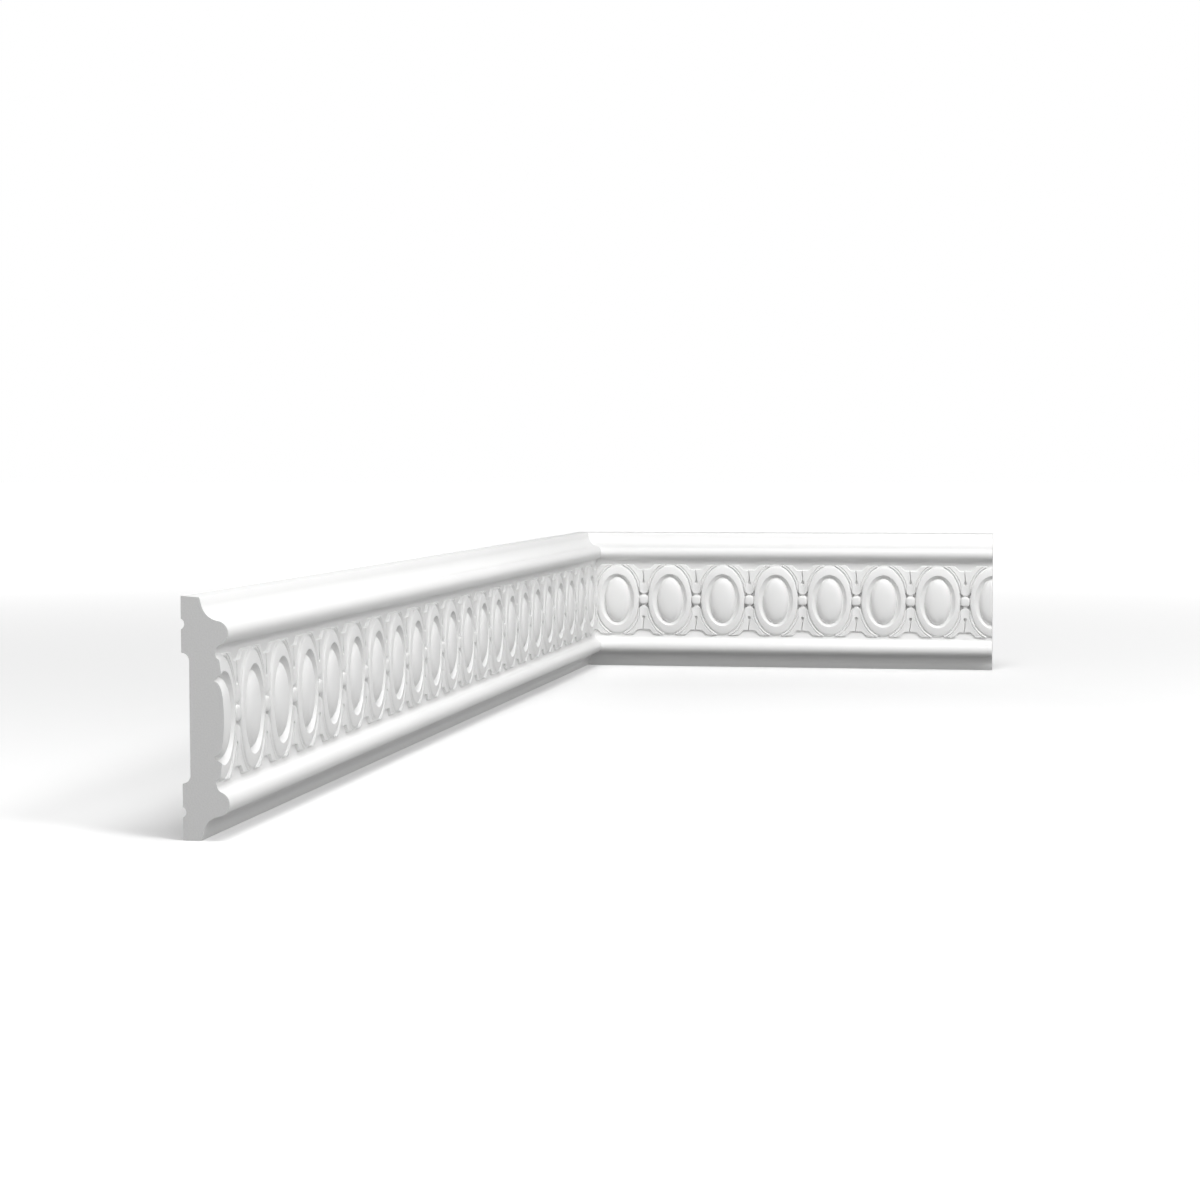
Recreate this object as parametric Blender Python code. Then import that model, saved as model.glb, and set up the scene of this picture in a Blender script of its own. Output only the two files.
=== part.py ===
# Cast wall moulding that turns an inside corner: a long length on the side wall and a short one on
# the back wall, mitred together. Metres, +Z up, the origin under the middle of the bounding box.
#
# Each length is modelled in the frame of its own wall: X along the wall with the corner at 0,
# Y = 0 on the wall and negative into the room, Z up from the bottom edge.

from math import acos, ceil, copysign, cos, pi, radians, sin, sqrt, tau

import bmesh
import bpy
from mathutils import Vector

OBJECT_NAME = "wall_moulding"

# Overall sizes
HEIGHT = 0.105
PROJECTION = 0.0210
SIDE_LENGTH = 0.920
BACK_LENGTH = 0.3235
MITRE_GAP = 0.0003

# Section of the front, the same from the top edge down as from the bottom edge up
EDGE_THICKNESS = 0.0084
LIP_HEIGHT = 0.0038
LIP_LEAN = 0.0007
TOP_FALL = 0.0006
COVE_RADIUS = 0.0090
ROLL_RADIUS = 0.0053
ROLL_INSET = 0.0159
FILLET_RADIUS = 0.0034
FIELD_DEPTH = 0.0153

# Section of the back: a wide shallow recess between two glued strips, each with a glue groove
RECESS_DEPTH = 0.0035
STRIP_HEIGHT = 0.0244
GROOVE_INSET = 0.0121
GROOVE_HEIGHT = 0.0044
GROOVE_DEPTH = 0.0015

# Pattern along the field: medallions one pitch apart, a bead and two husk leaves between each pair
PITCH = 0.04154
SIDE_FIRST_MEDALLION = 0.0435
BACK_FIRST_MEDALLION = 0.0323
SINK = 0.0020

# Medallion: an oval rim that slopes up to its inner arris, a channel and a domed egg
MEDALLION_GAP = 0.0070
MEDALLION_END_GAP = 0.0008
RIM_SLANT = 0.0013
RIM_HEIGHT = 0.0018
ARRIS_HEIGHT = 0.0022
RIM_SIDE_WIDTH = 0.0039
RIM_END_WIDTH = 0.0057
CHANNEL_SIDE_WIDTH = 0.0021
CHANNEL_END_WIDTH = 0.0017
CHANNEL_HEIGHT = 0.0001
EGG_HEIGHT = 0.0037
EGG_SHOULDER = 0.76
EGG_SQUARENESS = 2.4

# Bead between two medallions
BEAD_WIDTH = 0.0062
BEAD_LENGTH = 0.0073
BEAD_HEIGHT = 0.0021
BEAD_ROUND = 0.0008
BEAD_SQUARENESS = 2.6

# Husk leaf above and below each bead
LEAF_CLEARANCE = 0.0010
LEAF_HEIGHT = 0.0011
LEAF_END_WIDTH = 0.0048
LEAF_EDGE_GAP = 0.0014
LEAF_TIP_GAP = 0.0084
LEAF_TIP_FALL = 0.0009
BRACKET_HEIGHT = 0.0034
BRACKET_WIDTH = 0.0086
BRACKET_FLARE = 0.0042
PIT_START = 0.0126
PIT_LENGTH = 0.0054
PIT_WIDTH = 0.0020

# Number of flats on round forms
COVE_FLATS = 5
ROLL_FLATS = 8
FILLET_FLATS = 3
RECESS_FLATS = 3
GROOVE_FLATS = 4
MEDALLION_FLATS = 16
BEAD_FLATS = 8

# Faces that lean less than this from one another are one flat face, and edges over the sharp angle
# are creases; points of a drawn outline closer than the weld distance are one point
FLAT_ANGLE = radians(0.2)
SHARP_ANGLE = radians(30)
WELD_DISTANCE = 0.00001

# A cutting cube's edge as a multiple of the largest size of the section
CUTTER_SCALE = 4

WHITE = (0.86, 0.86, 0.85, 1.0)
ROUGHNESS = 0.5


def clear_scene():
    for item in list(bpy.data.objects):
        bpy.data.objects.remove(item, do_unlink=True)


def new_collection(name, parent):
    collection = bpy.data.collections.new(name)
    parent.children.link(collection)
    return collection


def white_finish(name):
    material = bpy.data.materials.new(name)
    material.use_nodes = True
    shader = material.node_tree.nodes["Principled BSDF"]
    shader.inputs["Base Color"].default_value = WHITE
    shader.inputs["Roughness"].default_value = ROUGHNESS
    shader.inputs["Metallic"].default_value = 0.0
    return material


def wall_frame(name, turn, collection):
    """Empty at the foot of the room corner, turned so that its X axis runs along one wall."""
    frame = bpy.data.objects.new(name, None)
    frame.location = (-BACK_LENGTH / 2, SIDE_LENGTH / 2, 0.0)
    frame.rotation_euler = (0.0, 0.0, turn)
    collection.objects.link(frame)
    return frame


def arc(centre, radius, start, end, flats):
    """Points on an arc from angle start to angle end, both ends included."""
    points = []
    for step in range(flats + 1):
        angle = start + (end - start) * step / flats
        points.append(centre + radius * Vector((cos(angle), sin(angle))))
    return points


def heading(vector):
    """Angle of a 2D vector from the +X axis, from 0 to a full turn."""
    angle = acos(vector.normalized().x)
    return angle if vector.y >= 0 else tau - angle


def front_half():
    """Front of the section as (depth from the wall, distance from the nearest edge).

    A leaning lip, a quarter cove, a round roll and a small fillet down to the field, each arc
    running smoothly into the next.
    """
    roll = Vector((PROJECTION - ROLL_RADIUS, ROLL_INSET))
    lip = Vector((EDGE_THICKNESS + LIP_LEAN, LIP_HEIGHT))

    # The cove's centre is one cove radius from the lip and touches the roll from outside.
    span = (roll - lip).length
    along = (span**2 + COVE_RADIUS**2 - (COVE_RADIUS + ROLL_RADIUS) ** 2) / (2 * span)
    aside = sqrt(COVE_RADIUS**2 - along**2)
    direction = (roll - lip) / span
    cove = lip + along * direction + aside * Vector((direction.y, -direction.x))

    fillet_depth = FIELD_DEPTH + FILLET_RADIUS
    drop = sqrt((ROLL_RADIUS + FILLET_RADIUS) ** 2 - (fillet_depth - roll.x) ** 2)
    fillet = Vector((fillet_depth, roll.y + drop))

    points = [Vector((EDGE_THICKNESS, 0.0))]
    points += arc(cove, COVE_RADIUS, heading(lip - cove), heading(roll - cove), COVE_FLATS)
    points += arc(roll, ROLL_RADIUS, heading(cove - roll) - tau, heading(fillet - roll), ROLL_FLATS)[1:]
    points += arc(fillet, FILLET_RADIUS, heading(roll - fillet), pi, FILLET_FLATS)[1:]
    return points


def field_inset():
    """Distance from either edge to where the flat field starts."""
    return front_half()[-1].y


def back_half():
    """Back of the section, from the middle of the recess to the nearest edge."""
    radius = (GROOVE_HEIGHT**2 / 4 + GROOVE_DEPTH**2) / (2 * GROOVE_DEPTH)
    groove = Vector((GROOVE_DEPTH - radius, GROOVE_INSET))
    reach = acos((radius - GROOVE_DEPTH) / radius)
    corner = Vector((0.0, STRIP_HEIGHT + RECESS_DEPTH))
    points = arc(corner, RECESS_DEPTH, 0.0, -pi / 2, RECESS_FLATS)
    points += arc(groove, radius, reach, -reach, GROOVE_FLATS)
    points.append(Vector((0.0, 0.0)))
    return points


def section_outline():
    """Whole section as (depth, height), once around from the bottom front corner."""
    front = front_half()
    back = back_half()
    outline = [Vector((point.x, point.y)) for point in front]
    upper = [Vector((point.x, HEIGHT - point.y)) for point in reversed(front)]
    upper[-1].y -= TOP_FALL
    outline += upper
    outline += [Vector((point.x, HEIGHT - point.y)) for point in reversed(back)]
    outline += back
    return outline


def curve_to_mesh_object(name, outlines, half_thickness, rotation, location, frame, collection):
    """Flat outlines extruded to solids, with welded caps, as a mesh object."""
    curve = bpy.data.curves.new(name, "CURVE")
    curve.dimensions = "2D"
    curve.fill_mode = "BOTH"
    curve.extrude = half_thickness
    for outline in outlines:
        spline = curve.splines.new("POLY")
        spline.points.add(len(outline) - 1)
        for target, point in zip(spline.points, outline):
            target.co = (point.x, point.y, 0.0, 1.0)
        spline.use_cyclic_u = True
    guide = bpy.data.objects.new(name + "_outline", curve)
    guide.parent = frame
    guide.location = location
    guide.rotation_euler = rotation
    collection.objects.link(guide)

    bpy.context.view_layer.update()
    depsgraph = bpy.context.evaluated_depsgraph_get()
    mesh = bpy.data.meshes.new_from_object(guide.evaluated_get(depsgraph))
    mesh.name = name
    form = bmesh.new()
    form.from_mesh(mesh)
    bmesh.ops.remove_doubles(form, verts=form.verts, dist=WELD_DISTANCE)
    bmesh.ops.dissolve_limit(form, angle_limit=FLAT_ANGLE, verts=form.verts, edges=form.edges)
    bmesh.ops.recalc_face_normals(form, faces=form.faces)
    form.to_mesh(mesh)
    form.free()
    solid = bpy.data.objects.new(name, mesh)
    solid.parent = frame
    solid.matrix_world = guide.matrix_world
    collection.objects.link(solid)
    bpy.data.objects.remove(guide, do_unlink=True)
    bpy.data.curves.remove(curve)
    return solid


def plain_length(name, start, end, frame, collection):
    """The section drawn along the wall from start to end."""
    return curve_to_mesh_object(
        name,
        [section_outline()],
        (end - start) / 2,
        (radians(90), 0.0, radians(-90)),
        ((start + end) / 2, 0.0, 0.0),
        frame,
        collection,
    )


def ring_points(half_width, half_height, squareness, flats):
    """Superellipse: 2 is an ellipse, and larger values are squarer."""
    points = []
    for step in range(flats):
        angle = tau * step / flats
        across = copysign(abs(cos(angle)) ** (2 / squareness), cos(angle))
        upward = copysign(abs(sin(angle)) ** (2 / squareness), sin(angle))
        points.append((across * half_width, upward * half_height))
    return points


def add_loft(form, place, rings, crown, squareness, flats):
    """Closed loft through flat rings up to a middle point at the crown's height.

    Each ring is (half width, half height, height above the field).
    """
    loops = []
    for half_width, half_height, rise in rings:
        loop = []
        for across, upward in ring_points(half_width, half_height, squareness, flats):
            depth = FIELD_DEPTH + rise
            loop.append(form.verts.new((place + across, -depth, HEIGHT / 2 + upward)))
        loops.append(loop)
    for lower, upper in zip(loops, loops[1:]):
        for step in range(flats):
            after = (step + 1) % flats
            form.faces.new((lower[step], lower[after], upper[after], upper[step]))
    form.faces.new(reversed(loops[0]))
    top = form.verts.new((place, -(FIELD_DEPTH + crown), HEIGHT / 2))
    for step in range(flats):
        form.faces.new((loops[-1][step], loops[-1][(step + 1) % flats], top))


def medallion_half_width():
    """Half width over the top of the rim's outer edge."""
    return (PITCH - MEDALLION_GAP) / 2


def medallion_half_height():
    return HEIGHT / 2 - field_inset() - MEDALLION_END_GAP - RIM_SLANT


def medallion_rings():
    width = medallion_half_width()
    height = medallion_half_height()
    arris_width = width - RIM_SIDE_WIDTH
    arris_height = height - RIM_END_WIDTH
    egg_width = arris_width - CHANNEL_SIDE_WIDTH
    egg_height = arris_height - CHANNEL_END_WIDTH
    foot = 1 + RIM_SLANT * (1 + SINK / RIM_HEIGHT) / height
    dome = sqrt(1 - EGG_SHOULDER**EGG_SQUARENESS)
    shoulder_height = CHANNEL_HEIGHT + (EGG_HEIGHT - CHANNEL_HEIGHT) * dome
    return [
        (width * foot, height * foot, -SINK),
        (width, height, RIM_HEIGHT),
        (arris_width, arris_height, ARRIS_HEIGHT),
        (egg_width, egg_height, CHANNEL_HEIGHT),
        (egg_width * EGG_SHOULDER, egg_height * EGG_SHOULDER, shoulder_height),
    ]


def bead_rings():
    width = BEAD_WIDTH / 2
    length = BEAD_LENGTH / 2
    return [(width, length, -SINK), (width, length, BEAD_HEIGHT - BEAD_ROUND)]


def loft_row(name, places, rings, crown, squareness, flats, frame, collection):
    """The same loft at each place along the wall, as one mesh of separate bodies."""
    form = bmesh.new()
    for place in places:
        add_loft(form, place, rings, crown, squareness, flats)
    bmesh.ops.recalc_face_normals(form, faces=form.faces)
    mesh = bpy.data.meshes.new(name)
    form.to_mesh(mesh)
    form.free()
    row = bpy.data.objects.new(name, mesh)
    row.parent = frame
    collection.objects.link(row)
    return row


def leaf_half():
    """Right half of the upper leaf as (across, outward) from the bead's centre.

    From its end by the bead the leaf spreads under the medallion's rim to a tip beside the top.
    """
    edge = HEIGHT / 2 - field_inset() - LEAF_EDGE_GAP
    return [
        Vector((LEAF_END_WIDTH / 2, BEAD_LENGTH / 2 + LEAF_CLEARANCE)),
        Vector(((PITCH - LEAF_TIP_GAP) / 2, edge - LEAF_TIP_FALL)),
        Vector((BRACKET_WIDTH / 2 + BRACKET_FLARE, edge)),
        Vector((BRACKET_WIDTH / 2, edge - BRACKET_HEIGHT)),
    ]


def pit_outline():
    """Pit with its broad end towards the bead and its point away from it."""
    across = PIT_WIDTH / 2
    return [
        Vector((across, PIT_START)),
        Vector((0.0, PIT_START + PIT_LENGTH)),
        Vector((-across, PIT_START)),
    ]


def leaf_row(name, places, frame, collection):
    """Leaves above and below the bead at each place, each with its pit open to the field."""
    half = leaf_half()
    leaf = half + [Vector((-point.x, point.y)) for point in reversed(half)]
    outlines = []
    for place in places:
        for side in (1, -1):
            for outline in (leaf, pit_outline()):
                outlines.append([Vector((place + p.x, HEIGHT / 2 + side * p.y)) for p in outline])
    thickness = LEAF_HEIGHT + SINK / 2
    return curve_to_mesh_object(
        name,
        outlines,
        thickness / 2,
        (radians(90), 0.0, 0.0),
        (0.0, -(FIELD_DEPTH + LEAF_HEIGHT - thickness / 2), 0.0),
        frame,
        collection,
    )


def cutter_size():
    return CUTTER_SCALE * max(HEIGHT, PROJECTION)


def box_cutter(name, centre, turn, frame, collection):
    """Cube much larger than the section, with one face on the plane of a cut."""
    bpy.ops.mesh.primitive_cube_add(size=cutter_size())
    cutter = bpy.context.object
    cutter.name = name
    for owner in list(cutter.users_collection):
        owner.objects.unlink(cutter)
    collection.objects.link(cutter)
    cutter.parent = frame
    cutter.location = centre
    cutter.rotation_euler = (0.0, 0.0, turn)
    return cutter


def mitre_cutter(name, side, frame, collection):
    """Cuts at 45 degrees through the corner. side is 1 where the length runs along +X."""
    reach = (cutter_size() - MITRE_GAP) / 2
    centre = (-side * reach * cos(pi / 4), -reach * sin(pi / 4), HEIGHT / 2)
    return box_cutter(name, centre, pi / 4, frame, collection)


def end_cutter(name, side, length, frame, collection):
    """Cuts square at the length's free end."""
    centre = (side * (length + cutter_size() / 2), 0.0, HEIGHT / 2)
    return box_cutter(name, centre, 0.0, frame, collection)


def add_boolean(solid, operation, others):
    step = solid.modifiers.new(others.name, "BOOLEAN")
    step.operation = operation
    step.solver = "EXACT"
    step.operand_type = "COLLECTION"
    step.collection = others
    for guide in others.objects:
        guide.hide_render = True
        guide.display_type = "WIRE"


def moulding_length(name, side, length, first, turn, parts, guides):
    """One mitred length with its carving. side is 1 where it runs along +X from the corner."""
    frame = wall_frame(name + "_frame", turn, parts)
    carving = new_collection(name + "_carving", guides)
    cuts = new_collection(name + "_cuts", guides)
    count = ceil((length - first) / PITCH) + 2
    medallions = [side * (first + PITCH * (step - 1)) for step in range(count + 1)]
    beads = [place - side * PITCH / 2 for place in medallions[1:]]
    ends = sorted((-side * PROJECTION, side * (length + PITCH)))

    solid = plain_length(name, ends[0], ends[1], frame, parts)
    loft_row(
        name + "_medallions", medallions, medallion_rings(), EGG_HEIGHT, 2.0, MEDALLION_FLATS, frame, carving
    )
    loft_row(
        name + "_beads", beads, bead_rings(), BEAD_HEIGHT, BEAD_SQUARENESS, BEAD_FLATS, frame, carving
    )
    leaf_row(name + "_leaves", beads, frame, carving)
    mitre_cutter(name + "_mitre", side, frame, cuts)
    end_cutter(name + "_end", side, length, frame, cuts)
    add_boolean(solid, "UNION", carving)
    add_boolean(solid, "DIFFERENCE", cuts)

    solid.data.materials.clear()
    solid.data.materials.append(white_finish(name + "_white"))
    solid.data.shade_smooth()
    solid.data.set_sharp_from_angle(angle=SHARP_ANGLE)
    return solid


def main():
    clear_scene()
    scene = bpy.context.scene.collection
    parts = new_collection(OBJECT_NAME, scene)
    guides = new_collection(OBJECT_NAME + "_guides", scene)
    moulding_length(
        "side_wall_moulding", -1, SIDE_LENGTH, SIDE_FIRST_MEDALLION, radians(90), parts, guides
    )
    moulding_length(
        "back_wall_moulding", 1, BACK_LENGTH, BACK_FIRST_MEDALLION, 0.0, parts, guides
    )


main()
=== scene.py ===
# Wall moulding of two mitred lengths, with its fine carving, white finish, floor, soft light and
# camera. Sizes are in millimetres and degrees unless a note says otherwise.
import math

import bmesh
import bpy
import numpy as np
from mathutils import Matrix, Vector
from mathutils.geometry import delaunay_2d_cdt


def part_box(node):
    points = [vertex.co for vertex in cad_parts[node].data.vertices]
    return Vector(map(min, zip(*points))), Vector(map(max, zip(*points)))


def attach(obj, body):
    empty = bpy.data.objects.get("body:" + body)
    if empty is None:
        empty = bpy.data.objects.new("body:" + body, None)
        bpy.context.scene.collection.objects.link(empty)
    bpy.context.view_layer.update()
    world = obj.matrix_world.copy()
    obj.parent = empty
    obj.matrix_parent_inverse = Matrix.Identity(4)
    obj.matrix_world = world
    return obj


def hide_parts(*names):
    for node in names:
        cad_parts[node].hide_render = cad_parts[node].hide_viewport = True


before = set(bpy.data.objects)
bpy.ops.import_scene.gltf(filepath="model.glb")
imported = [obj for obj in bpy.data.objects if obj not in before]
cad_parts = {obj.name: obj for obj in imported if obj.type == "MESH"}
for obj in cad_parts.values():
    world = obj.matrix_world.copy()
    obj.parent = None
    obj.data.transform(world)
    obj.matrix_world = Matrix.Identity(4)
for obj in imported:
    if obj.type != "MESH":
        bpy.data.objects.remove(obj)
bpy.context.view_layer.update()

mm = 0.001
sideLow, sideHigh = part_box("side_wall_moulding")
backLow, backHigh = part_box("back_wall_moulding")
mitreBack = Vector((sideLow.x, backHigh.y, 0.0))

section = {
    "height": (sideHigh.z - sideLow.z) / mm,
    "edgeThickness": 8.4,
    "lipHeight": 3.8,
    "lipLean": 0.7,
    "topFall": 0.6,
    "arrisRound": 0.35,
    "coveRadius": 9.0,
    "rollRadius": 5.3,
    "rollTop": (sideHigh.x - sideLow.x) / mm,
    "rollInset": 15.9,
    "filletRadius": 3.4,
    "fieldDepth": 15.3,
    "recessDepth": 3.5,
    "stripHeight": 24.4,
    "grooveInset": 12.1,
    "grooveHeight": 4.4,
    "grooveDepth": 1.5,
}

pattern = {
    "pitch": 41.54,
    "sideFirst": 43.5,   # first medallion from the back of the mitre, on the long length
    "backFirst": 33.0,   # and on the short one
}

medallion = {
    "gap": 7.7,
    "endGap": 1.0,
    "sideSlant": 0.2,    # the outer side is steep beside the bead and leans more along the ribs
    "ribSlant": 0.6,
    "endSlant": 1.1,
    "ribSlantFrom": 14,   # degrees up from the oval's middle
    "ribSlantOver": 16,
    "endSlantFrom": 74,
    "endSlantOver": 12,
    "edgeAtSides": 1.9,
    "edgeAtEnds": 1.6,
    "arrisAtSides": 2.4,
    "arrisAtEnds": 2.45,
    "rimSideWidth": 3.45,
    "rimEndWidth": 6.2,
    "channelSideWidth": 3.4,
    "channelEndWidth": 2.4,
    "channelHeight": -0.9,
    "channelCurve": 1.5,   # 1 is a straight bevel, more is a hollow
    "eggHeight": 3.6,
    "eggPower": 3.6,
    "softening": 0.07,   # how far the worn inner arris drops
    "outerDrop": 0.3,    # and the outer one
    "wornBand": 0.07,    # width of the worn bands, as a share of the ring they lie in
    "outerBand": 0.18,
    "steps": 28,         # along a quarter of the oval
    "rings": [0.4, 0.64, 0.8, 0.9, 0.96, 0.987, 1.0, 1.3, 1.6, 1.93, 2.0, 2.07, 2.82, 2.92, 3.0],
}

bead = {
    "width": 7.2,
    "length": 7.5,
    "height": 1.95,
    "squareness": 3.2,
    "flatness": 7,
    "neckHeight": 0.1,    # the neck joins the bead to the leaf
    "neckUnder": 1.0,
    "neckReach": 6.4,
    "rings": [1.005, 0.99, 0.96, 0.9, 0.8, 0.6],
}

leaf = {
    "endWidth": 7.5,
    "endStart": 4.6,
    "endLength": 3.6,
    "edgeRound": 0.35,
    "flatEdge": 23.45,
    "tipEdge": 27.4,
    "bendStart": 3.9,
    "bendEnd": 8.8,
    "tipReach": 16.2,
    "flare": 0.35,    # how the sides spread from the rounded end on
    "flareCurve": 0.06,
    "hollow": 0.5,    # how far the field dips beyond the bracket edge
}

# Ribs beside the medallion: distance from the foot of its outer side and height over the field,
# narrowed near the bead, where there is less space
rib = {
    "profile": [(0.0, 0.3), (0.55, 1.4), (0.7, 1.5), (1.3, 1.45), (1.45, 1.35), (1.85, 0.45),
                (2.25, 1.3), (2.4, 1.4), (3.0, 1.3), (3.6, 1.1)],
    "leastScale": 0.42,
    "scaleGrowth": 0.58,
    "growFrom": 5,
    "growOver": 9,
}

pit = {
    "start": 12.3,
    "radius": 1.35,
    "point": 17.6,
    "pointSteepness": 3,
    "depth": 3.2,
    "shallowing": 0.7,    # share of the depth that is lost towards the point
    "sideWidth": 0.8,
}
slit = {"halfWidth": 0.36, "depth": 1.9, "wave": 0.6, "fadeIn": 1.2}
notch = {"depth": 3.2, "start": 1.4, "full": 1.9}
joint = {"halfGap": 0.04, "weld": 0.002, "sharpAngle": 40}
flatTolerance = 0.003    # mesh points this near to a border belong to it


def smooth(value):
    clipped = np.clip(value, 0.0, 1.0)
    return clipped * clipped * (3 - 2 * clipped)


def arcPoints(centre, radius, start, end, steps):
    angles = [start + (end - start) * step / steps for step in range(steps + 1)]
    return [centre + radius * Vector((math.cos(a), math.sin(a))) for a in angles]


def heading(vector):
    return math.atan2(vector.y, vector.x) % math.tau


# Front of the section from an edge to the field, as depth from the flat back and distance from the edge
def frontHalf():
    roll = Vector((section["rollTop"] - section["rollRadius"], section["rollInset"]))
    lip = Vector((section["edgeThickness"] + section["lipLean"], section["lipHeight"]))
    coveRadius = section["coveRadius"]
    reach = coveRadius + section["rollRadius"]
    span = (roll - lip).length
    along = (span**2 + coveRadius**2 - reach**2) / (2 * span)
    aside = math.sqrt(coveRadius**2 - along**2)
    direction = (roll - lip) / span
    cove = lip + along * direction + aside * Vector((direction.y, -direction.x))
    filletRadius = section["filletRadius"]
    filletDepth = section["fieldDepth"] + filletRadius
    drop = math.sqrt((section["rollRadius"] + filletRadius) ** 2 - (filletDepth - roll.x) ** 2)
    fillet = Vector((filletDepth, roll.y + drop))
    nose = section["arrisRound"]
    points = [Vector((section["edgeThickness"] - nose, 0.0)), Vector((section["edgeThickness"], nose))]
    points += arcPoints(cove, coveRadius, heading(lip - cove), heading(roll - cove), 16)
    rollStart, rollEnd = heading(cove - roll) - math.tau, heading(fillet - roll)
    points += arcPoints(roll, section["rollRadius"], rollStart, rollEnd, 24)[1:]
    points += arcPoints(fillet, filletRadius, heading(roll - fillet), math.pi, 8)[1:]
    return points


# Back of the section from the middle of the recess to an edge
def backHalf():
    depth, width = section["grooveDepth"], section["grooveHeight"]
    radius = (width**2 / 4 + depth**2) / (2 * depth)
    reach = math.acos((radius - depth) / radius)
    groove = Vector((depth - radius, section["grooveInset"]))
    corner = Vector((0.0, section["stripHeight"] + section["recessDepth"]))
    points = arcPoints(corner, section["recessDepth"], 0.0, -math.pi / 2, 8)
    points += arcPoints(groove, radius, reach, -reach, 10)
    points.append(Vector((0.0, 0.0)))
    return points


front = frontHalf()
halfHeight = section["height"] / 2
fieldEdge = halfHeight - front[-1].y
filletRows = 3
patchEdge = halfHeight - front[-1 - filletRows].y
halfPitch = pattern["pitch"] / 2

rimWidth = (pattern["pitch"] - medallion["gap"]) / 2
rimHeight = fieldEdge - medallion["endGap"] - medallion["endSlant"]
arrisWidth = rimWidth - medallion["rimSideWidth"]
arrisHeight = rimHeight - medallion["rimEndWidth"]
eggWidth = arrisWidth - medallion["channelSideWidth"]
eggHeight = arrisHeight - medallion["channelEndWidth"]
ringPlaces = [0.0, 1.0, 2.0, 3.0]          # middle, foot of the egg, arris, outer edge of the rim
ringWidths = [0.0, eggWidth, arrisWidth, rimWidth]
ringHeights = [0.0, eggHeight, arrisHeight, rimHeight]


def ringSize(place):
    return np.interp(place, ringPlaces, ringWidths), np.interp(place, ringPlaces, ringHeights)


# Where each point lies among a medallion's rings, from 0 in the middle to 3 at the rim's edge
def ringPlace(across, up):
    low, high = np.full(across.shape, 1e-6), np.full(across.shape, 3.0)
    for _ in range(40):
        middle = (low + high) / 2
        width, height = ringSize(middle)
        inside = (across / width) ** 2 + (up / height) ** 2 < 1
        high = np.where(inside, middle, high)
        low = np.where(inside, low, middle)
    return (low + high) / 2


# Distance outside the rim's edge, with the oval's own angle at the nearest point
def rimDistance(across, up):
    angles = np.linspace(0.0, math.pi / 2, 600)
    edgeX, edgeY = rimWidth * np.cos(angles), rimHeight * np.sin(angles)
    gaps = np.hypot(across[:, None] - edgeX, up[:, None] - edgeY)
    nearest = gaps.argmin(axis=1)
    outside = (across / rimWidth) ** 2 + (up / rimHeight) ** 2 > 1
    return np.where(outside, gaps.min(axis=1), 0.0), angles[nearest]


# Width of the medallion's outer side seen from the front, which is also where the ribs start
def ribStart(angle):
    share = smooth((np.degrees(angle) - medallion["ribSlantFrom"]) / medallion["ribSlantOver"])
    return medallion["sideSlant"] + (medallion["ribSlant"] - medallion["sideSlant"]) * share


# The same with the greater lean at the oval's ends
def slantAt(angle):
    share = smooth((np.degrees(angle) - medallion["endSlantFrom"]) / medallion["endSlantOver"])
    return ribStart(angle) + (medallion["endSlant"] - medallion["ribSlant"]) * share


def ribScale(angle):
    share = smooth((rimHeight * np.sin(angle) - rib["growFrom"]) / rib["growOver"])
    return rib["leastScale"] + rib["scaleGrowth"] * share


# The medallion's outer side, carried on down below the field for the grooves beside it
def outerSideRelief(across, up):
    distance, nearest = rimDistance(across, up)
    lift = np.sin(nearest) ** 2
    edge = medallion["edgeAtSides"] + (medallion["edgeAtEnds"] - medallion["edgeAtSides"]) * lift
    return (edge - medallion["outerDrop"]) * (1 - distance / slantAt(nearest))


def medallionRelief(across, up):
    place = ringPlace(across, up)
    angle = np.arctan2(up / rimHeight, across / rimWidth)
    lift = np.sin(angle) ** 2
    edge = medallion["edgeAtSides"] + (medallion["edgeAtEnds"] - medallion["edgeAtSides"]) * lift
    arris = medallion["arrisAtSides"] + (medallion["arrisAtEnds"] - medallion["arrisAtSides"]) * lift
    channel = medallion["channelHeight"]
    egg = channel + (medallion["eggHeight"] - channel) * np.sqrt(
        np.clip(1 - np.minimum(place, 1) ** medallion["eggPower"], 0, 1))
    bevel = channel + (arris - channel) * np.clip(place - 1, 0, 1) ** medallion["channelCurve"]
    rim = arris + (edge - arris) * (place - 2)
    height = np.where(place < 1, egg, np.where(place < 2, bevel, rim))
    worn = medallion["softening"] * np.clip(1 - np.abs(place - 2) / medallion["wornBand"], 0, 1)
    worn = worn + medallion["outerDrop"] * np.clip(1 - (3 - place) / medallion["outerBand"], 0, 1) ** 2
    return height - worn


def beadRelief(across, up):
    power = bead["squareness"]
    wide = np.abs(across / (bead["width"] / 2)) ** power
    tall = np.abs(up / (bead["length"] / 2)) ** power
    radius = (wide + tall) ** (1 / power)
    dome = bead["height"] * np.sqrt(np.clip(1 - radius ** bead["flatness"], 0, 1))
    return np.where(radius < 1, dome, -section["fieldDepth"])


def leafOuterEdge(across):
    share = smooth((np.abs(across) - leaf["bendStart"]) / (leaf["bendEnd"] - leaf["bendStart"]))
    return leaf["flatEdge"] + (leaf["tipEdge"] - leaf["flatEdge"]) * share


def leafOuterSlope(across):
    return (leafOuterEdge(across + 0.01) - leafOuterEdge(across - 0.01)) / 0.02


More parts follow.
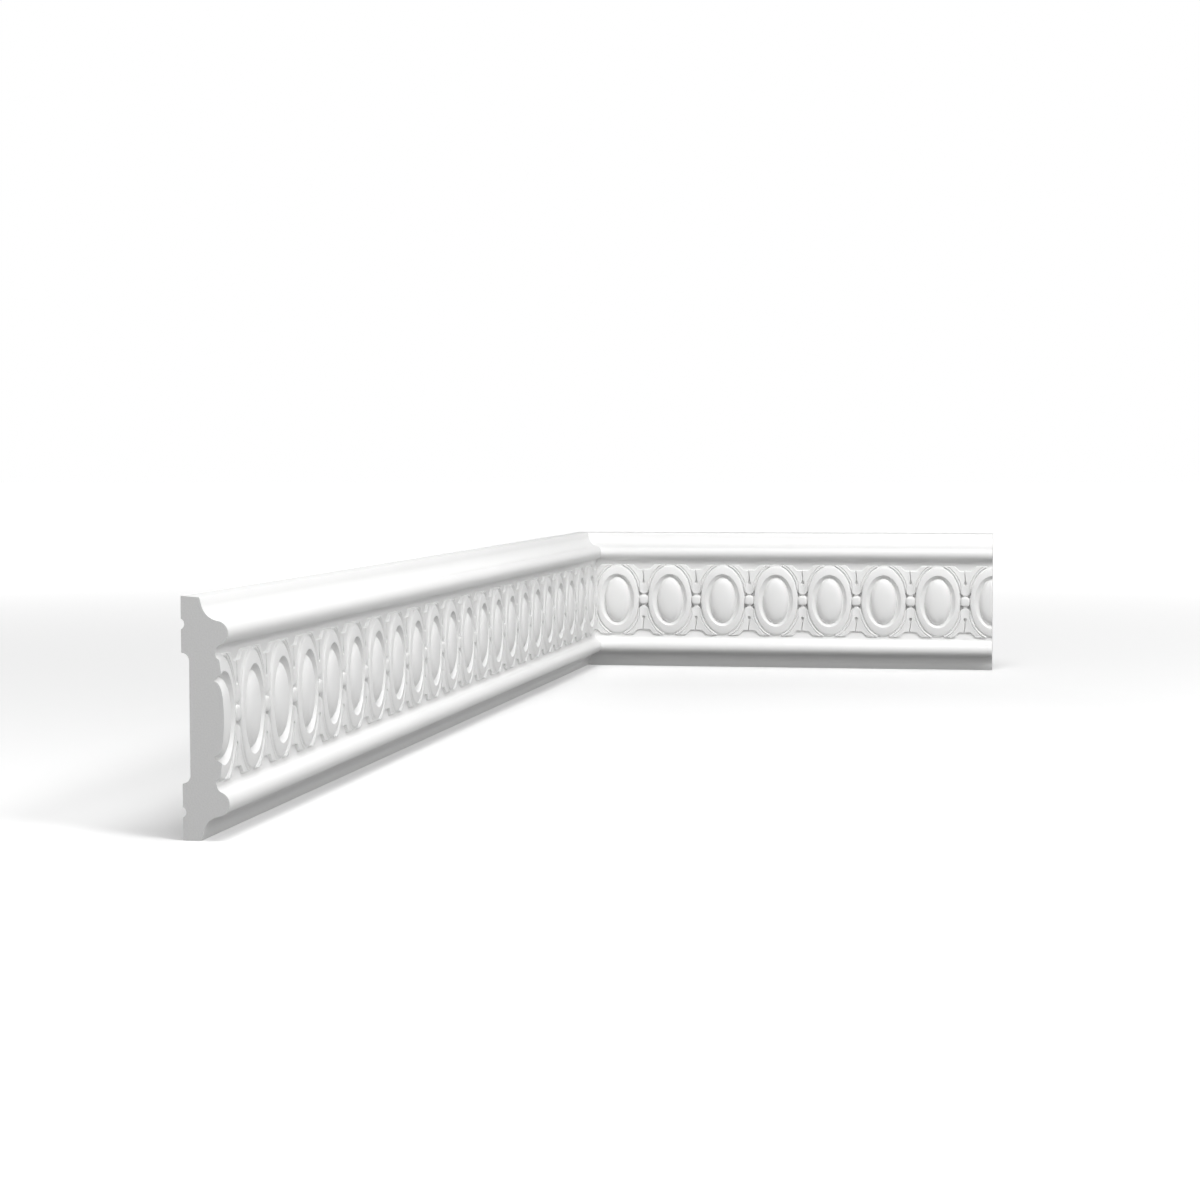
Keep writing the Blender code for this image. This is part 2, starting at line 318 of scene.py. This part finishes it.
# Distance inside the leaf's own outline, apart from where it runs under a medallion's rim
def leafInside(across, up):
    outer = (leafOuterEdge(across) - up) / np.sqrt(1 + leafOuterSlope(across) ** 2)
    tip = leaf["tipReach"] - np.abs(across)
    endMiddle = leaf["endStart"] + leaf["endLength"]
    halfEnd = leaf["endWidth"] / 2
    radius = np.hypot(across / halfEnd, (up - endMiddle) / leaf["endLength"])
    rounded = (1 - radius) * leaf["endLength"]
    above = up - endMiddle
    flared = halfEnd + leaf["flare"] * above + leaf["flareCurve"] * above**2 - np.abs(across)
    inner = np.where(above < 0, rounded, flared)
    return np.minimum(np.minimum(outer, tip), inner)


def edgeRounding(distance):
    return np.sqrt(np.clip(1 - (1 - np.clip(distance / leaf["edgeRound"], 0, 1)) ** 2, 0, 1))


def slitMiddle(up):
    return -slit["wave"] * smooth((up - pit["point"]) / (leaf["flatEdge"] - pit["point"]))


def pitInside(across, up):
    middle = pit["start"] + pit["radius"]
    taper = np.clip((pit["point"] - up) / (pit["point"] - middle), 0, 1)
    cone = pit["radius"] * taper - np.abs(across)
    disc = pit["radius"] - np.hypot(across, up - middle)
    return np.where(up > middle, cone, disc)


def leafRelief(across, up):
    distance, nearest = rimDistance(halfPitch - np.abs(across), up)
    steps, heights = zip(*rib["profile"])
    surface = np.interp((distance - ribStart(nearest)) / ribScale(nearest), steps, heights)
    slope = np.clip((up - pit["start"]) / (pit["point"] - pit["start"]), 0, 1)
    pitFloor = pit["depth"] * (1 - pit["shallowing"] * slope)
    pitDepth = pitFloor * np.clip(pitInside(across, up) / pit["sideWidth"], 0, 1)
    beyond = smooth((up - pit["point"] + slit["fadeIn"]) / slit["fadeIn"])
    slitShape = np.clip(1 - np.abs(across - slitMiddle(up)) / slit["halfWidth"], 0, 1)
    slitDepth = slit["depth"] * slitShape * beyond
    surface = surface - np.maximum(pitDepth, slitDepth)
    return surface * edgeRounding(leafInside(across, up))


# Depth of the carved face from the flat back, for the upper half of one pitch
def patchDepth(across, up):
    filletDepth = section["fieldDepth"] + section["filletRadius"]
    rise = np.clip(up - fieldEdge, 0, section["filletRadius"])
    ground = filletDepth - np.sqrt(section["filletRadius"] ** 2 - rise**2)
    aside = halfPitch - np.abs(across)
    # Between bead and leaf the neck lies in the middle, with a notch on either side of it
    side = smooth((np.abs(across) - notch["start"]) / (notch["full"] - notch["start"]))
    neck = bead["neckHeight"] - (bead["neckHeight"] + notch["depth"]) * side
    base = np.where((up > bead["length"] / 2 - bead["neckUnder"]) & (up < bead["neckReach"]), neck, 0)
    beyond = (up - leafOuterEdge(across)) / (fieldEdge - leafOuterEdge(across))
    base = np.where(beyond > 0, -leaf["hollow"] * np.clip(1 - beyond, 0, 1), base)
    base = np.where(leafInside(across, up) > 0, leafRelief(across, up), base)
    relief = np.maximum(np.maximum(base, beadRelief(across, up)), outerSideRelief(aside, up))
    onMedallion = (aside / rimWidth) ** 2 + (up / rimHeight) ** 2 <= 1
    relief = np.where(onMedallion, medallionRelief(aside, up), relief)
    carved = section["fieldDepth"] + relief
    return np.where(up > fieldEdge, np.maximum(ground, carved), carved)


# A line at a distance outside the medallion's rim
def rimOffset(turn, offset):
    normalX, normalY = np.cos(turn) / rimWidth, np.sin(turn) / rimHeight
    size = np.hypot(normalX, normalY)
    normalX, normalY = normalX / size, normalY / size
    return rimWidth * np.cos(turn) + offset * normalX, rimHeight * np.sin(turn) + offset * normalY


# Rings of the medallion, its outer side and the ribs beside it
def medallionLines():
    lines = []
    turn = np.linspace(0.0, math.pi / 2, medallion["steps"] + 1)
    turn[-1] = math.pi / 2
    for mirror in (-1, 1):
        for place in medallion["rings"]:
            width, height = ringSize(place)
            angles = turn if place > 0.6 else turn[::2]
            lines.append((mirror * (halfPitch - width * np.cos(angles)), height * np.sin(angles)))
        for share in (0.5, 1.0, 2.6):    # the last one lies deep in the notch
            x, y = rimOffset(turn, slantAt(turn) * share)
            keep = (share < 2) | ((y > bead["length"] / 2 - 0.9) & (y < bead["neckReach"] - 0.6))
            lines.append((mirror * (halfPitch - x[keep]), y[keep]))
        for step, _ in rib["profile"]:
            x, y = rimOffset(turn, ribStart(turn) + step * ribScale(turn))
            keep = (y > leaf["endStart"] - 0.5) & (y < leaf["tipEdge"] + 0.4) & (halfPitch - x > 0.15)
            lines.append((mirror * (halfPitch - x[keep]), y[keep]))
    return lines


# Bracket edge, rounded end and side tips of the leaf, and the notches between it and the bead
def leafLines():
    lines = []
    rounds = [-0.03, 0.05, 0.17, leaf["edgeRound"]]
    bend = np.linspace(leaf["bendStart"], leaf["bendEnd"], 11)
    half = np.concatenate([[0.0, 1.3, 2.6], bend, [11.0, 13.5, leaf["tipReach"] - 0.05]])
    across = np.concatenate([-half[:0:-1], half])
    for inset in rounds:
        lines.append((across, leafOuterEdge(across) - inset * np.sqrt(1 + leafOuterSlope(across) ** 2)))
    endMiddle = leaf["endStart"] + leaf["endLength"]
    turnDown = np.linspace(math.pi, math.tau, 19)
    for inset in rounds:
        share = 1 - inset / leaf["endLength"]
        x = leaf["endWidth"] / 2 * share * np.cos(turnDown)
        lines.append((x, endMiddle + leaf["endLength"] * share * np.sin(turnDown)))
    notchEnds = np.array([bead["length"] / 2 - 0.3, leaf["endStart"] + 0.8])
    for mirror in (-1, 1):
        for inset in (0.05, 0.4):
            x = mirror * (leaf["tipReach"] - inset)
            lines.append((np.array([x, x]), np.array([leaf["tipEdge"], leaf["tipEdge"] - 1.6])))
        for side in (notch["start"], notch["full"]):
            lines.append((np.full(2, mirror * side), notchEnds))
    return lines


def beadLines():
    lines = []
    circle = np.linspace(0.0, math.pi, 25)
    power = 2 / bead["squareness"]
    for share in bead["rings"]:
        x = share * bead["width"] / 2 * np.sign(np.cos(circle)) * np.abs(np.cos(circle)) ** power
        lines.append((x, share * bead["length"] / 2 * np.sin(circle) ** power))
    return lines


def pitAndSlitLines():
    lines = []
    middle = pit["start"] + pit["radius"]
    under = np.linspace(math.pi, math.tau, 11)
    for inset in (0.0, pit["sideWidth"]):
        radius = pit["radius"] - inset
        point = pit["point"] - inset * pit["pointSteepness"]
        x = np.concatenate([[0.0], radius * np.cos(under), [0.0]])
        lines.append((x, np.concatenate([[point], middle + radius * np.sin(under), [point]])))
    ups = np.linspace(pit["point"] - 1.0, leaf["flatEdge"] + 0.1, 9)
    for aside in (-1, 0, 1):
        lines.append((slitMiddle(ups) + aside * slit["halfWidth"], ups))
    return lines


# Lines that the upper half of one pitch is meshed along, with the bead at the middle
def patchLines():
    lines = medallionLines() + leafLines() + beadLines() + pitAndSlitLines()
    rowCount = 24
    for row in range(filletRows + 1):
        up = halfHeight - front[-1 - row].y
        lines.append((np.linspace(-halfPitch, halfPitch, rowCount + 1), np.full(rowCount + 1, up)))
    lines.append((np.array([-halfPitch, halfPitch]), np.zeros(2)))
    return lines


def meshPatch():
    points, edges = [], []
    for xs, ys in patchLines():
        first = len(points)
        points += [Vector((float(x), float(y))) for x, y in zip(xs, ys)]
        edges += [(index, index + 1) for index in range(first, len(points) - 1)]
    for corner in (-halfPitch, halfPitch):
        points.append(Vector((corner, 0.0)))
    points.append(Vector((0.0, 0.0)))
    result = delaunay_2d_cdt(points, edges, [], 0, 0.004, False)
    flat = np.array([tuple(point) for point in result[0]])
    faces = [tuple(face) for face in result[2]]
    flat[np.abs(flat[:, 1]) < flatTolerance, 1] = 0
    for border in (-halfPitch, halfPitch):
        flat[np.abs(flat[:, 0] - border) < flatTolerance, 0] = border
    return flat, faces


# One pitch of the moulding: the carved patch, its mirror image below, and the plain section round them
def buildPitch():
    flat, faces = meshPatch()
    depth = patchDepth(flat[:, 0], flat[:, 1])
    upper = np.column_stack([flat[:, 0], -depth, flat[:, 1]])
    lower = upper * np.array([1, 1, -1])
    count = len(upper)
    allFaces = list(faces) + [tuple(index + count for index in reversed(face)) for face in faces]
    points = [upper, lower]
    rim = [Vector((p.x, halfHeight - p.y)) for p in reversed(front[: -1 - filletRows])]
    rim[-1].y -= section["topFall"]
    rim[-2].y -= section["topFall"]
    back = [Vector((p.x, halfHeight - p.y)) for p in reversed(backHalf())]
    chain = rim + back + [Vector((p.x, -p.y)) for p in reversed(back)]
    chain += [Vector((p.x, -(halfHeight - p.y))) for p in front[: -1 - filletRows]]
    start = 2 * count
    for side in (-halfPitch, halfPitch):
        points.append(np.array([(side, -p.x, p.y) for p in chain]))
    size = len(chain)
    for index in range(size - 1):
        allFaces.append((start + index, start + size + index, start + size + index + 1, start + index + 1))
    top = [i for i in range(count) if abs(flat[i, 1] - patchEdge) < flatTolerance]
    top.sort(key=lambda i: flat[i, 0])
    allFaces.append(tuple(top) + (start + size, start))
    allFaces.append(tuple(count + i for i in reversed(top)) + (start + size - 1, start + 2 * size - 1))
    return np.concatenate(points), allFaces


pitchPoints, pitchFaces = buildPitch()
print("one pitch:", len(pitchPoints), "points,", len(pitchFaces), "faces")


# Cuts the length at a plane and closes the cut with the sawn finish
def cutLength(form, plane, outward, material):
    cut = bmesh.ops.bisect_plane(
        form, geom=form.verts[:] + form.edges[:] + form.faces[:], dist=1e-7,
        plane_co=plane, plane_no=outward, clear_outer=True)
    rimEdges = [item for item in cut["geom_cut"] if isinstance(item, bmesh.types.BMEdge)]
    filled = bmesh.ops.triangle_fill(form, use_beauty=True, edges=rimEdges, normal=outward)
    for face in filled["geom"]:
        if isinstance(face, bmesh.types.BMFace):
            face.material_index = material
            face.smooth = False


def buildLength(name, direction, length, first, turn, finishes):
    # direction is 1 where the length runs along +X of its own frame, away from the mitre
    pitch = pattern["pitch"]
    count = math.ceil((length - first) / pitch) + 2
    places = [direction * (first + pitch * (step - 1.5)) for step in range(count + 1)]
    points, faces = [], []
    for index, place in enumerate(places):
        points.append(pitchPoints + np.array([place, 0.0, halfHeight]))
        offset = index * len(pitchPoints)
        faces += [tuple(corner + offset for corner in face) for face in pitchFaces]
    mesh = bpy.data.meshes.new(name)
    mesh.from_pydata((np.concatenate(points) * mm).tolist(), [], faces)
    for finish in finishes:
        mesh.materials.append(finish)
    form = bmesh.new()
    form.from_mesh(mesh)
    bmesh.ops.remove_doubles(form, verts=form.verts, dist=joint["weld"] * mm)
    for face in form.faces:
        face.smooth = True
    half = math.sqrt(0.5)
    mitre = Vector((direction * half, -half, 0.0)) * joint["halfGap"] * mm
    cutLength(form, mitre, Vector((-direction * half, -half, 0.0)), 1)
    cutLength(form, Vector((direction * length * mm, 0.0, 0.0)), Vector((direction, 0.0, 0.0)), 1)
    bmesh.ops.recalc_face_normals(form, faces=form.faces)
    form.to_mesh(mesh)
    form.free()
    mesh.set_sharp_from_angle(angle=math.radians(joint["sharpAngle"]))
    piece = bpy.data.objects.new(name, mesh)
    bpy.context.scene.collection.objects.link(piece)
    piece.matrix_world = Matrix.Translation(mitreBack) @ Matrix.Rotation(turn, 4, "Z")
    triangles = sum(len(face.vertices) - 2 for face in mesh.polygons)
    print(name, "has", len(mesh.polygons), "faces,", triangles, "triangles")
    return piece


# White primer over rigid foam: nearly smooth, with a trace of orange peel and of uneven drying
def primedWhite(name):
    look = {
        "colour": (0.86, 0.86, 0.855, 1.0),
        "shade": (0.83, 0.83, 0.825, 1.0),
        "roughness": (0.42, 0.55),
        "dryingScale": 14,
        "peelScale": 900,
        "peelStrength": 0.05,
        "peelHeight": 0.0002,
    }
    finish = bpy.data.materials.new(name)
    finish.use_nodes = True
    nodes, links = finish.node_tree.nodes, finish.node_tree.links
    shader = nodes["Principled BSDF"]
    place = nodes.new("ShaderNodeTexCoord")
    drying = nodes.new("ShaderNodeTexNoise")
    drying.inputs["Scale"].default_value = look["dryingScale"]
    drying.inputs["Detail"].default_value = 4
    tint = nodes.new("ShaderNodeMix")
    tint.data_type = "RGBA"
    tint.inputs["A"].default_value = look["shade"]
    tint.inputs["B"].default_value = look["colour"]
    peel = nodes.new("ShaderNodeTexNoise")
    peel.inputs["Scale"].default_value = look["peelScale"]
    peel.inputs["Detail"].default_value = 2
    sheen = nodes.new("ShaderNodeMapRange")
    sheen.inputs["To Min"].default_value, sheen.inputs["To Max"].default_value = look["roughness"]
    bump = nodes.new("ShaderNodeBump")
    bump.inputs["Strength"].default_value = look["peelStrength"]
    bump.inputs["Distance"].default_value = look["peelHeight"]
    for texture in (drying, peel):
        links.new(place.outputs["Object"], texture.inputs["Vector"])
    links.new(drying.outputs["Fac"], tint.inputs["Factor"])
    links.new(tint.outputs["Result"], shader.inputs["Base Color"])
    links.new(drying.outputs["Fac"], sheen.inputs["Value"])
    links.new(sheen.outputs["Result"], shader.inputs["Roughness"])
    links.new(peel.outputs["Fac"], bump.inputs["Height"])
    links.new(bump.outputs["Normal"], shader.inputs["Normal"])
    return finish


# Sawn end: a little greyer than the primed faces, with fine open cells
def sawnFoam(name):
    look = {
        "shade": (0.74, 0.74, 0.737, 1.0),
        "colour": (0.85, 0.85, 0.846, 1.0),
        "roughness": 0.9,
        "cellScale": 1400,
        "cellStrength": 0.2,
        "cellDepth": 0.0003,
    }
    finish = bpy.data.materials.new(name)
    finish.use_nodes = True
    nodes, links = finish.node_tree.nodes, finish.node_tree.links
    shader = nodes["Principled BSDF"]
    shader.inputs["Roughness"].default_value = look["roughness"]
    place = nodes.new("ShaderNodeTexCoord")
    cells = nodes.new("ShaderNodeTexNoise")
    cells.inputs["Scale"].default_value = look["cellScale"]
    cells.inputs["Detail"].default_value = 3
    tint = nodes.new("ShaderNodeMix")
    tint.data_type = "RGBA"
    tint.inputs["A"].default_value = look["shade"]
    tint.inputs["B"].default_value = look["colour"]
    bump = nodes.new("ShaderNodeBump")
    bump.inputs["Strength"].default_value = look["cellStrength"]
    bump.inputs["Distance"].default_value = look["cellDepth"]
    links.new(place.outputs["Object"], cells.inputs["Vector"])
    links.new(cells.outputs["Fac"], tint.inputs["Factor"])
    links.new(tint.outputs["Result"], shader.inputs["Base Color"])
    links.new(cells.outputs["Fac"], bump.inputs["Height"])
    links.new(bump.outputs["Normal"], shader.inputs["Normal"])
    return finish


finishes = [primedWhite("primedWhite"), sawnFoam("sawnFoam")]
sideLength = (mitreBack.y - sideLow.y) / mm
backLength = (backHigh.x - mitreBack.x) / mm
sidePiece = buildLength("sideWallMoulding", -1, sideLength, pattern["sideFirst"], math.radians(90), finishes)
backPiece = buildLength("backWallMoulding", 1, backLength, pattern["backFirst"], 0.0, finishes)
for piece, node, slotName in (
    (sidePiece, "side_wall_moulding", "side_wall_white"),
    (backPiece, "back_wall_moulding", "back_wall_white"),
):
    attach(piece, "root")
    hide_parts(node)


def addFloor():
    paperLook = {
        "colour": (0.9, 0.9, 0.9, 1.0),
        "roughness": 0.9,
        "fadeReach": (0.3, 2.2),    # in metres
        # strength of the floor's painted glow, from near the moulding to far away
        "fadeGlow": (0.06, 0.8),
    }
    size = 14.0
    corners = [(-size, -size, 0), (size, -size, 0), (size, size, 0), (-size, size, 0)]
    mesh = bpy.data.meshes.new("studioFloor")
    mesh.from_pydata(corners, [], [(0, 1, 2, 3)])
    floor = bpy.data.objects.new("studioFloor", mesh)
    floor.location.z = -0.0001
    bpy.context.scene.collection.objects.link(floor)
    paper = bpy.data.materials.new("studioPaper")
    paper.use_nodes = True
    nodes, links = paper.node_tree.nodes, paper.node_tree.links
    shader = nodes["Principled BSDF"]
    shader.inputs["Base Color"].default_value = paperLook["colour"]
    shader.inputs["Roughness"].default_value = paperLook["roughness"]
    shader.inputs["Emission Color"].default_value = (1.0, 1.0, 1.0, 1.0)
    # Painted light: the floor glows, faintly near the moulding and more and more away from it, so that it
    # fades into the white backdrop
    place = nodes.new("ShaderNodeTexCoord")
    reach = nodes.new("ShaderNodeVectorMath")
    reach.operation = "LENGTH"
    fade = nodes.new("ShaderNodeMapRange")
    fade.inputs["From Min"].default_value, fade.inputs["From Max"].default_value = paperLook["fadeReach"]
    fade.inputs["To Min"].default_value, fade.inputs["To Max"].default_value = paperLook["fadeGlow"]
    links.new(place.outputs["Object"], reach.inputs[0])
    links.new(reach.outputs["Value"], fade.inputs["Value"])
    links.new(fade.outputs["Result"], shader.inputs["Emission Strength"])
    mesh.materials.append(paper)
    floor.visible_diffuse = False    # no light bounces from it on to the moulding


def addSoftbox(name, place, target, size, power):
    lamp = bpy.data.lights.new(name, "AREA")
    lamp.shape = "SQUARE"
    lamp.size = size
    lamp.energy = power
    holder = bpy.data.objects.new(name, lamp)
    holder.location = place
    holder.rotation_euler = (Vector(target) - Vector(place)).to_track_quat("-Z", "Y").to_euler()
    bpy.context.scene.collection.objects.link(holder)


def addLight():
    # Places and sizes are in metres and powers in watts; the rest are tones of the air round the moulding
    light = {
        "keySoftbox": {"place": (1.9, -1.3, 1.9), "size": 0.7, "power": 30},
        "topSoftbox": {"place": (0.2, -0.45, 1.4), "size": 0.8, "power": 16},
        "frontSoftbox": {"place": (0.3, -2.2, 0.9), "size": 1.2, "power": 5},
        "aim": (0.0, 0.2, 0.05),
        "ground": 0.16,
        "horizon": 0.78,
        "overhead": 0.0,
        "backdrop": 1.0,
    }
    for name in ("keySoftbox", "topSoftbox", "frontSoftbox"):
        softbox = light[name]
        addSoftbox(name, softbox["place"], light["aim"], softbox["size"], softbox["power"])
    world = bpy.data.worlds.new("studioAir")
    world.use_nodes = True
    nodes, links = world.node_tree.nodes, world.node_tree.links
    dome = nodes["Background"]
    direction = nodes.new("ShaderNodeTexCoord")
    parts = nodes.new("ShaderNodeSeparateXYZ")
    fade = nodes.new("ShaderNodeValToRGB")
    fade.color_ramp.interpolation = "EASE"
    toRamp = nodes.new("ShaderNodeMapRange")
    toRamp.inputs["From Min"].default_value = -1.0
    stops = fade.color_ramp.elements
    stops[0].position, stops[0].color = 0.42, (light["ground"],) * 3 + (1.0,)
    stops[1].position, stops[1].color = 1.0, (light["overhead"],) * 3 + (1.0,)
    level = stops.new(0.52)
    level.color = (light["horizon"],) * 3 + (1.0,)
    plain = nodes.new("ShaderNodeBackground")
    plain.inputs["Color"].default_value = (light["backdrop"],) * 3 + (1.0,)
    rays = nodes.new("ShaderNodeLightPath")
    choice = nodes.new("ShaderNodeMixShader")
    links.new(direction.outputs["Generated"], parts.inputs["Vector"])
    links.new(parts.outputs["Z"], toRamp.inputs["Value"])
    links.new(toRamp.outputs["Result"], fade.inputs["Fac"])
    links.new(fade.outputs["Color"], dome.inputs["Color"])
    links.new(rays.outputs["Is Camera Ray"], choice.inputs["Fac"])
    links.new(dome.outputs["Background"], choice.inputs[1])
    links.new(plain.outputs["Background"], choice.inputs[2])
    links.new(choice.outputs["Shader"], nodes["World Output"].inputs["Surface"])
    bpy.context.scene.world = world


def addCamera():
    view = {
        "place": (0.20018, -1.46187, 0.16341),    # in metres
        "yaw": 10.2013,
        "pitch": 3.3005,
        "roll": -0.1013,
        "lens": 74.05,
    }
    yaw, pitch, roll = (math.radians(view[key]) for key in ("yaw", "pitch", "roll"))
    level = math.cos(pitch)
    forward = Vector((-math.sin(yaw) * level, math.cos(yaw) * level, -math.sin(pitch)))
    right = Vector((math.cos(yaw), math.sin(yaw), 0.0))
    up = right.cross(forward)
    across = right * math.cos(roll) + up * math.sin(roll)
    above = up * math.cos(roll) - right * math.sin(roll)
    lens = bpy.data.cameras.new("studioCamera")
    lens.lens = view["lens"]
    lens.sensor_width = 36
    lens.clip_start = 0.01
    camera = bpy.data.objects.new("studioCamera", lens)
    turned = Matrix((across, above, -forward)).transposed().to_4x4()
    camera.matrix_world = Matrix.Translation(view["place"]) @ turned
    bpy.context.scene.collection.objects.link(camera)
    bpy.context.scene.camera = camera


addFloor()
addLight()
addCamera()
bpy.context.scene.view_settings.view_transform = "Standard"
print("floor, light and camera are set")
